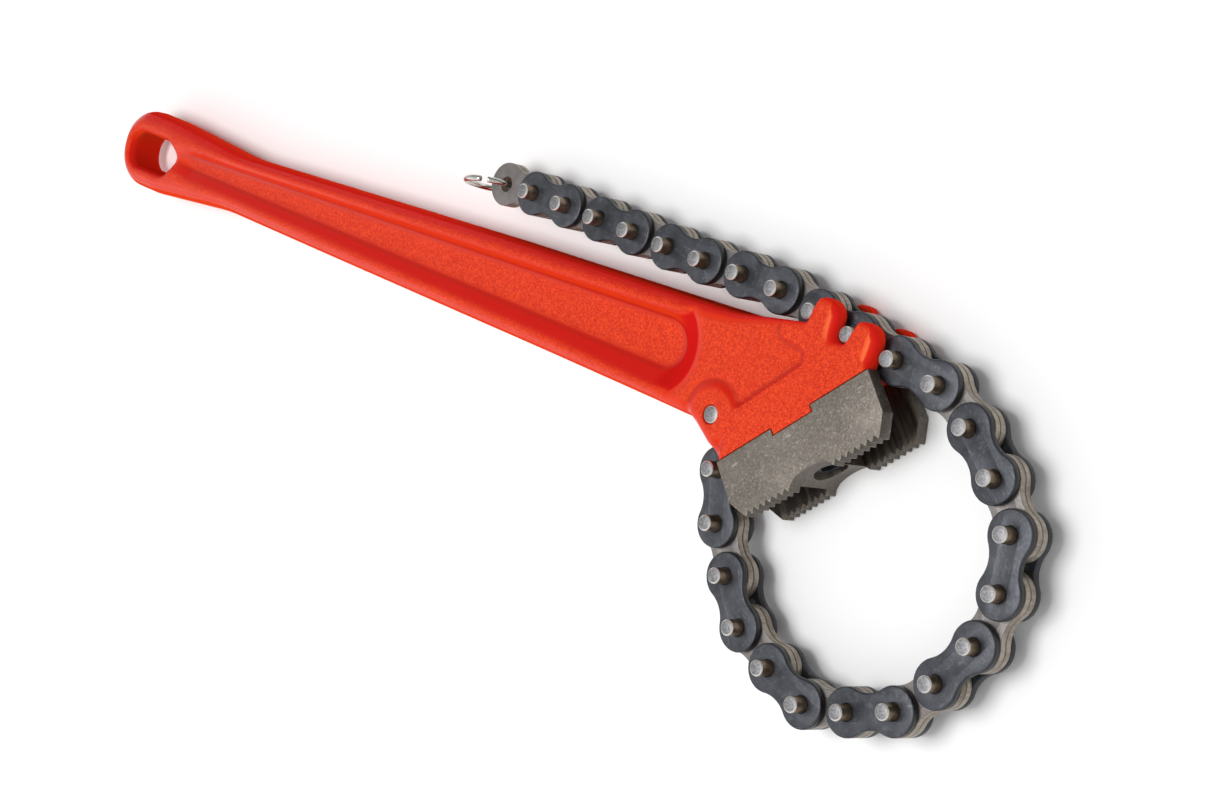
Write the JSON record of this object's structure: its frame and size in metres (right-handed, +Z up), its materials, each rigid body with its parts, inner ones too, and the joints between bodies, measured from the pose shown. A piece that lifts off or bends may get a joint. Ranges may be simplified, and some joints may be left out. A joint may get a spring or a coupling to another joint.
{
  "type": "chain wrench",
  "caption": "Heavy-duty pipe chain wrench: cast enamelled handle with a forked head, bolted double jaw, and a leaf chain hooked into the fork with an end ring.",
  "frame": {"origin": "middle of the head's lower side pad, on the surface the wrench lies on", "axes": "+X along the handle from its hanging end to the jaw head, +Y to the side on which the chain hooks into the fork, +Z up and parallel to every chain pin"},
  "size_m": [0.5412, 0.1466, 0.026],
  "materials": {
    "enamel": "glossy red-orange enamel on cast iron",
    "black_oxide": "satin black-oxide steel",
    "bare_steel": "oiled heat-treated steel, grey-brown",
    "ground_steel": "ground steel with fine scratches",
    "nickel": "bright nickel-plated wire"
  },
  "bodies": {
    "wrench_body": {"handle": "enamel", "jaw": "ground_steel", "jaw_screw": "black_oxide", "anchor_pin": "ground_steel"},
    "chain_link_01": {"link01_lower_leaf": "bare_steel", "link01_upper_leaf": "bare_steel"},
    "chain_link_02": {"link02_pin_plate": "black_oxide", "link02_outer_plate": "black_oxide"},
    "chain_link_03": {"link03_lower_leaf": "bare_steel", "link03_upper_leaf": "bare_steel"},
    "chain_link_04": {"link04_pin_plate": "black_oxide", "link04_outer_plate": "black_oxide"},
    "chain_link_05": {"link05_lower_leaf": "bare_steel", "link05_upper_leaf": "bare_steel"},
    "chain_link_06": {"link06_pin_plate": "black_oxide", "link06_outer_plate": "black_oxide"},
    "chain_link_07": {"link07_lower_leaf": "bare_steel", "link07_upper_leaf": "bare_steel"},
    "chain_link_08": {"link08_pin_plate": "black_oxide", "link08_outer_plate": "black_oxide"},
    "chain_link_09": {"link09_lower_leaf": "bare_steel", "link09_upper_leaf": "bare_steel"},
    "chain_link_10": {"link10_pin_plate": "black_oxide", "link10_outer_plate": "black_oxide"},
    "chain_link_11": {"link11_lower_leaf": "bare_steel", "link11_upper_leaf": "bare_steel"},
    "chain_link_12": {"link12_pin_plate": "black_oxide", "link12_outer_plate": "black_oxide"},
    "chain_link_13": {"link13_lower_leaf": "bare_steel", "link13_upper_leaf": "bare_steel"},
    "chain_link_14": {"link14_pin_plate": "black_oxide", "link14_outer_plate": "black_oxide"},
    "chain_link_15": {"link15_lower_leaf": "bare_steel", "link15_upper_leaf": "bare_steel"},
    "chain_link_16": {"link16_pin_plate": "black_oxide", "link16_outer_plate": "black_oxide"},
    "chain_link_17": {"link17_lower_leaf": "bare_steel", "link17_upper_leaf": "bare_steel"},
    "chain_link_18": {"link18_pin_plate": "black_oxide", "link18_outer_plate": "black_oxide"},
    "chain_link_19": {"link19_lower_leaf": "bare_steel", "link19_upper_leaf": "bare_steel"},
    "chain_link_20": {"link20_pin_plate": "black_oxide", "link20_outer_plate": "black_oxide"},
    "chain_link_21": {"link21_lower_leaf": "bare_steel", "link21_upper_leaf": "bare_steel"},
    "chain_link_22": {"link22_pin_plate": "black_oxide", "link22_outer_plate": "black_oxide"},
    "chain_link_23": {"link23_lower_leaf": "bare_steel", "link23_upper_leaf": "bare_steel"},
    "chain_link_24": {"link24_pin_plate": "black_oxide", "link24_outer_plate": "black_oxide"},
    "chain_link_25": {"link25_lower_leaf": "bare_steel", "link25_upper_leaf": "bare_steel"},
    "chain_link_26": {"link26_pin_plate": "black_oxide", "link26_outer_plate": "black_oxide"},
    "chain_link_27": {"link27_lower_leaf": "bare_steel", "link27_upper_leaf": "bare_steel"},
    "ring": {"end_ring": "nickel"}
  },
  "joints": [
    {"name": "link01_hinge", "type": "hinge", "parent": "wrench_body", "child": "chain_link_01", "pos_m": [-0.0297, -0.0153, 0.0121], "axis": [0, 0, 1], "range_deg": [0, 6.22]},
    {"name": "link02_hinge", "type": "hinge", "parent": "chain_link_01", "child": "chain_link_02", "pos_m": [-0.02558, -0.0339, 0.0121], "axis": [0, 0, 1], "range_deg": [-3.51, 0]},
    {"name": "link03_hinge", "type": "hinge", "parent": "chain_link_02", "child": "chain_link_03", "pos_m": [-0.01926, -0.05187, 0.0121], "axis": [0, 0, 1], "range_deg": [0, 9.26]},
    {"name": "link04_hinge", "type": "hinge", "parent": "chain_link_03", "child": "chain_link_04", "pos_m": [-0.00815, -0.06734, 0.0121], "axis": [0, 0, 1], "range_deg": [0, 6.68]},
    {"name": "link05_hinge", "type": "hinge", "parent": "chain_link_04", "child": "chain_link_05", "pos_m": [0.00429, -0.08177, 0.0121], "axis": [0, 0, 1], "range_deg": [0, 10.04]},
    {"name": "link06_hinge", "type": "hinge", "parent": "chain_link_05", "child": "chain_link_06", "pos_m": [0.02169, -0.08952, 0.0121], "axis": [0, 0, 1], "range_deg": [0, 10.21]},
    {"name": "link07_hinge", "type": "hinge", "parent": "chain_link_06", "child": "chain_link_07", "pos_m": [0.03991, -0.0951, 0.0121], "axis": [0, 0, 1], "range_deg": [0, 13.36]},
    {"name": "link08_hinge", "type": "hinge", "parent": "chain_link_07", "child": "chain_link_08", "pos_m": [0.05826, -0.08999, 0.0121], "axis": [0, 0, 1], "range_deg": [0, 10.16]},
    {"name": "link09_hinge", "type": "hinge", "parent": "chain_link_08", "child": "chain_link_09", "pos_m": [0.07566, -0.08224, 0.0121], "axis": [0, 0, 1], "range_deg": [-6.2, 0]},
    {"name": "link10_hinge", "type": "hinge", "parent": "chain_link_09", "child": "chain_link_10", "pos_m": [0.08762, -0.06741, 0.0121], "axis": [0, 0, 1], "range_deg": [-12.66, 0]},
    {"name": "link11_hinge", "type": "hinge", "parent": "chain_link_10", "child": "chain_link_11", "pos_m": [0.09685, -0.05075, 0.0121], "axis": [0, 0, 1], "range_deg": [-23.16, 0]},
    {"name": "link12_hinge", "type": "hinge", "parent": "chain_link_11", "child": "chain_link_12", "pos_m": [0.09942, -0.03187, 0.0121], "axis": [0, 0, 1], "range_deg": [-23.7, 0]},
    {"name": "link13_hinge", "type": "hinge", "parent": "chain_link_12", "child": "chain_link_13", "pos_m": [0.0967, -0.01302, 0.0121], "axis": [0, 0, 1], "range_deg": [-28.22, 0]},
    {"name": "link14_hinge", "type": "hinge", "parent": "chain_link_13", "child": "chain_link_14", "pos_m": [0.08429, 0.00144, 0.0121], "axis": [0, 0, -1], "range_deg": [0, 28.57]},
    {"name": "link15_hinge", "type": "hinge", "parent": "chain_link_14", "child": "chain_link_15", "pos_m": [0.06946, 0.0134, 0.0121], "axis": [0, 0, -1], "range_deg": [0, 25]},
    {"name": "link16_hinge", "type": "hinge", "parent": "chain_link_15", "child": "chain_link_16", "pos_m": [0.05283, 0.02268, 0.0121], "axis": [0, 0, 1], "range_deg": [-30, 0]},
    {"name": "link17_hinge", "type": "hinge", "parent": "chain_link_16", "child": "chain_link_17", "pos_m": [0.03396, 0.02532, 0.0121], "axis": [0, 0, -1], "range_deg": [-1, 40]},
    {"name": "link18_hinge", "type": "hinge", "parent": "chain_link_17", "child": "chain_link_18", "pos_m": [0.0151, 0.028, 0.0121], "axis": [0, 0, 1], "range_deg": [-60, 1.5]},
    {"name": "link19_hinge", "type": "hinge", "parent": "chain_link_18", "child": "chain_link_19", "pos_m": [-0.00375, 0.03075, 0.0121], "axis": [0, 0, -1], "range_deg": [-3, 60]},
    {"name": "link20_hinge", "type": "hinge", "parent": "chain_link_19", "child": "chain_link_20", "pos_m": [-0.02261, 0.03347, 0.0121], "axis": [0, 0, 1], "range_deg": [-60, 3]},
    {"name": "link21_hinge", "type": "hinge", "parent": "chain_link_20", "child": "chain_link_21", "pos_m": [-0.04165, 0.03387, 0.0121], "axis": [0, 0, -1], "range_deg": [-3, 60]},
    {"name": "link22_hinge", "type": "hinge", "parent": "chain_link_21", "child": "chain_link_22", "pos_m": [-0.0607, 0.03357, 0.0121], "axis": [0, 0, 1], "range_deg": [-60, 4]},
    {"name": "link23_hinge", "type": "hinge", "parent": "chain_link_22", "child": "chain_link_23", "pos_m": [-0.07975, 0.03367, 0.0121], "axis": [0, 0, -1], "range_deg": [-5, 56]},
    {"name": "link24_hinge", "type": "hinge", "parent": "chain_link_23", "child": "chain_link_24", "pos_m": [-0.09879, 0.03407, 0.0121], "axis": [0, 0, 1], "range_deg": [-60, 6]},
    {"name": "link25_hinge", "type": "hinge", "parent": "chain_link_24", "child": "chain_link_25", "pos_m": [-0.11784, 0.03417, 0.0121], "axis": [0, 0, -1], "range_deg": [-8, 60]},
    {"name": "link26_hinge", "type": "hinge", "parent": "chain_link_25", "child": "chain_link_26", "pos_m": [-0.13689, 0.03443, 0.0121], "axis": [0, 0, 1], "range_deg": [-60, 12]},
    {"name": "link27_hinge", "type": "hinge", "parent": "chain_link_26", "child": "chain_link_27", "pos_m": [-0.15594, 0.03443, 0.0121], "axis": [0, 0, -1], "range_deg": [-20, 60]},
    {"name": "ring_hinge", "type": "hinge", "parent": "chain_link_27", "child": "ring", "pos_m": [-0.17498, 0.03377, 0.01208], "axis": [0, 0, 1], "range_deg": [-95, 45]}
  ],
  "couplings": [
    {"joint": "link01_hinge", "follows": "link14_hinge", "ratio": 0.216},
    {"joint": "link02_hinge", "follows": "link14_hinge", "ratio": -0.1211},
    {"joint": "link03_hinge", "follows": "link14_hinge", "ratio": 0.3224},
    {"joint": "link04_hinge", "follows": "link14_hinge", "ratio": 0.2321},
    {"joint": "link05_hinge", "follows": "link14_hinge", "ratio": 0.3497},
    {"joint": "link06_hinge", "follows": "link14_hinge", "ratio": 0.3556},
    {"joint": "link07_hinge", "follows": "link14_hinge", "ratio": 0.4659},
    {"joint": "link08_hinge", "follows": "link14_hinge", "ratio": 0.3539},
    {"joint": "link09_hinge", "follows": "link14_hinge", "ratio": -0.2153},
    {"joint": "link10_hinge", "follows": "link14_hinge", "ratio": -0.4414},
    {"joint": "link11_hinge", "follows": "link14_hinge", "ratio": -0.8089},
    {"joint": "link12_hinge", "follows": "link14_hinge", "ratio": -0.8278},
    {"joint": "link13_hinge", "follows": "link14_hinge", "ratio": -0.986}
  ]
}
